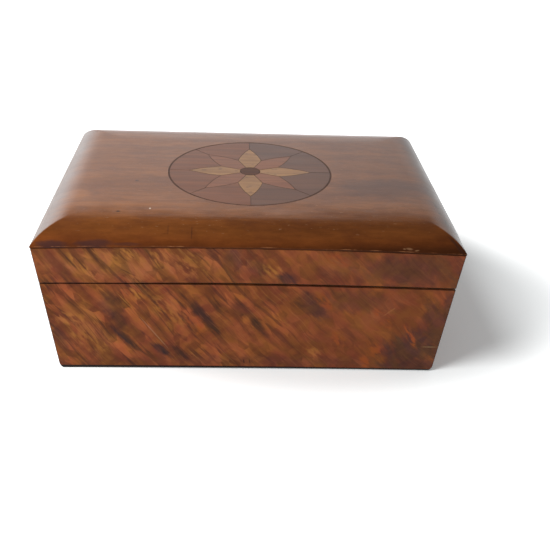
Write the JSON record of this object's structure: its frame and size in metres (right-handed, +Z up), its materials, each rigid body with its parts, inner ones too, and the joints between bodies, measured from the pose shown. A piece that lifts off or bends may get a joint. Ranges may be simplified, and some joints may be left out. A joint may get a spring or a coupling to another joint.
{
  "type": "wooden box",
  "caption": "Rectangular wooden box with splayed veneered sides and a hinged lid, cushion-moulded on all four edges and inlaid with a round rosette. Holds small things.",
  "frame": {"origin": "middle of the base, on the surface that the box stands on", "axes": "+Z up, +X to the right along the width, -Y out of the front; the hinges are at +Y"},
  "size_m": [0.305, 0.221, 0.1214],
  "materials": {
    "carcass_wood": "bare, aged",
    "bottom_wood": "bare, aged",
    "front_veneer": "polished, worn",
    "side_veneer": "polished, worn",
    "back_veneer": "polished, worn",
    "top_wood": "polished, worn",
    "inlay_stringing": "polished",
    "inlay_pale": "polished, worn",
    "inlay_rose": "polished, worn",
    "inlay_brown": "polished, worn",
    "inlay_grey": "polished, worn",
    "hinge_brass": "dull, aged",
    "screw_brass": "dull, aged",
    "pin_steel": "dull"
  },
  "bodies": {
    "box": {"body_front_board": "carcass_wood", "body_right_board": "carcass_wood", "body_back_board": "carcass_wood", "body_left_board": "carcass_wood", "bottom_board": "bottom_wood", "body_front_veneer": "front_veneer", "body_right_veneer": "side_veneer", "body_back_veneer": "back_veneer", "body_left_veneer": "side_veneer", "left_hinge_body_leaf": "hinge_brass", "left_hinge_pin": "pin_steel", "left_hinge_body_screw_1": "screw_brass", "left_hinge_body_screw_2": "screw_brass", "left_hinge_body_screw_3": "screw_brass", "right_hinge_body_leaf": "hinge_brass", "right_hinge_pin": "pin_steel", "right_hinge_body_screw_1": "screw_brass", "right_hinge_body_screw_2": "screw_brass", "right_hinge_body_screw_3": "screw_brass"},
    "lid": {"lid_front_rail": "carcass_wood", "lid_right_rail": "carcass_wood", "lid_back_rail": "carcass_wood", "lid_left_rail": "carcass_wood", "lid_front_veneer": "front_veneer", "lid_right_veneer": "side_veneer", "lid_back_veneer": "back_veneer", "lid_left_veneer": "side_veneer", "lid_top_board": "top_wood", "inlay_ring": "inlay_stringing", "inlay_disc": "inlay_stringing", "inlay_petal_1": "inlay_pale", "inlay_petal_2": "inlay_rose", "inlay_petal_3": "inlay_pale", "inlay_petal_4": "inlay_rose", "inlay_petal_5": "inlay_pale", "inlay_petal_6": "inlay_rose", "inlay_petal_7": "inlay_pale", "inlay_petal_8": "inlay_rose", "inlay_ground_1": "inlay_grey", "inlay_ground_2": "inlay_grey", "inlay_ground_3": "inlay_brown", "inlay_ground_4": "inlay_brown", "inlay_ground_5": "inlay_brown", "inlay_ground_6": "inlay_brown", "inlay_ground_7": "inlay_grey", "inlay_ground_8": "inlay_grey", "left_hinge_lid_leaf": "hinge_brass", "left_hinge_lid_screw_1": "screw_brass", "left_hinge_lid_screw_2": "screw_brass", "left_hinge_lid_screw_3": "screw_brass", "right_hinge_lid_leaf": "hinge_brass", "right_hinge_lid_screw_1": "screw_brass", "right_hinge_lid_screw_2": "screw_brass", "right_hinge_lid_screw_3": "screw_brass"}
  },
  "joints": [
    {"name": "lid_hinge", "type": "hinge", "parent": "box", "child": "lid", "pos_m": [0, 0.10544, 0.0779], "axis": [-1, 0, 0], "range_deg": [0, 99]}
  ]
}
